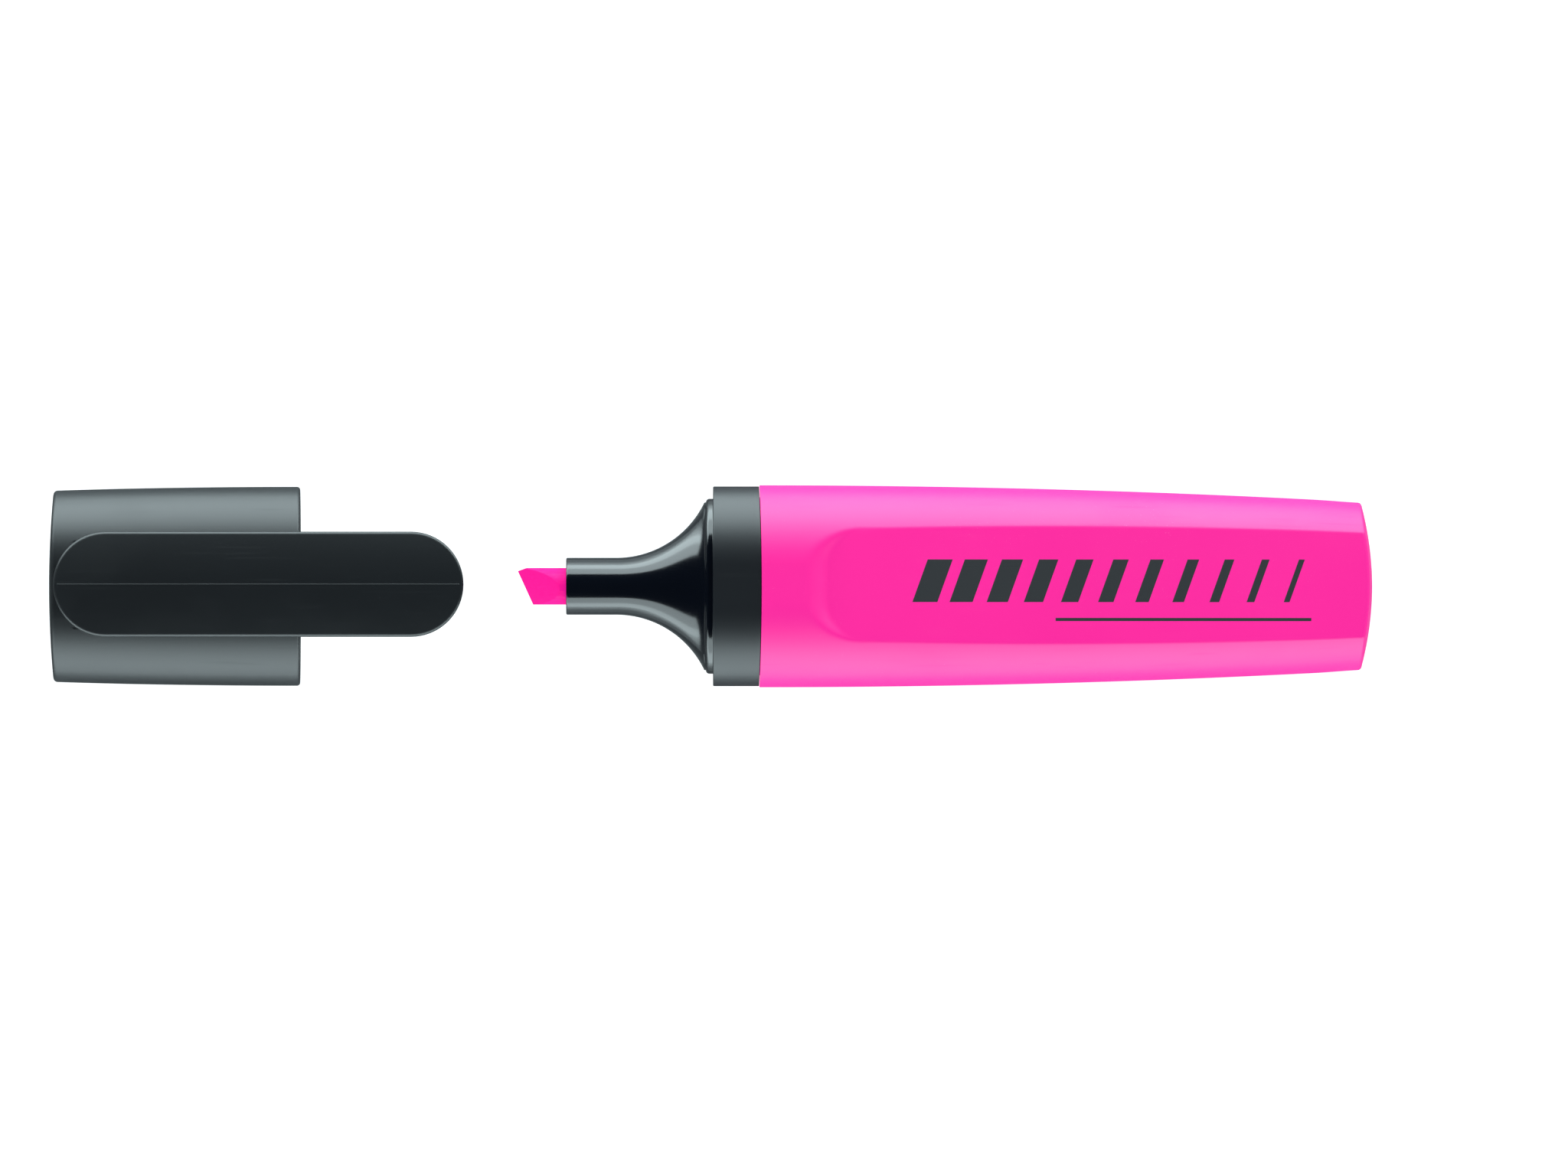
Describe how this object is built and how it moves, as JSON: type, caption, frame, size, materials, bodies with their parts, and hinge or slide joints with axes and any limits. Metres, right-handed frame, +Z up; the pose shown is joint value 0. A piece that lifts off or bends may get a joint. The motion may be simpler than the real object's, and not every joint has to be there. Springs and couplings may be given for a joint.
{
  "type": "highlighter pen",
  "caption": "Flat oval highlighter with its cap off: chisel tip, flared black front, pink barrel, black cap with a long pocket clip.",
  "frame": {"origin": "middle of the whole outline, on the surface the pen lies on, with the cap pulled off", "axes": "+X along the pen to the barrel's closed rear end, +Y across it, +Z up to the side with the clip and the flat panel"},
  "size_m": [0.1728, 0.0264, 0.0196],
  "materials": {
    "pink_barrel": "satin, slightly translucent",
    "black_gloss": "gloss",
    "nib_fibre": "bonded fibre, damp with ink",
    "ink_fibre": "bonded fibre bundle, soaked with ink",
    "film": "thin film",
    "black_cap": "satin",
    "liner_grey": "waxy",
    "black_clip": "matt"
  },
  "bodies": {
    "barrel": {"barrel_shell": "pink_barrel", "front_section": "black_gloss", "nib": "nib_fibre", "reservoir_core": "ink_fibre", "reservoir_film": "film"},
    "cap": {"cap_shell": "black_cap", "cap_liner": "liner_grey"},
    "clip": {"cap_clip": "black_clip"}
  },
  "joints": [
    {"name": "cap_slide", "type": "slide", "parent": "barrel", "child": "cap", "axis": [1, 0, 0], "range_m": [0, 0.05388]},
    {"name": "clip_flex", "type": "hinge", "parent": "cap", "child": "clip", "pos_m": [-0.0796, 0, 0.01535], "axis": [0, -1, 0], "range_deg": [0, 4], "stiffness_Nm_per_rad": 5}
  ]
}
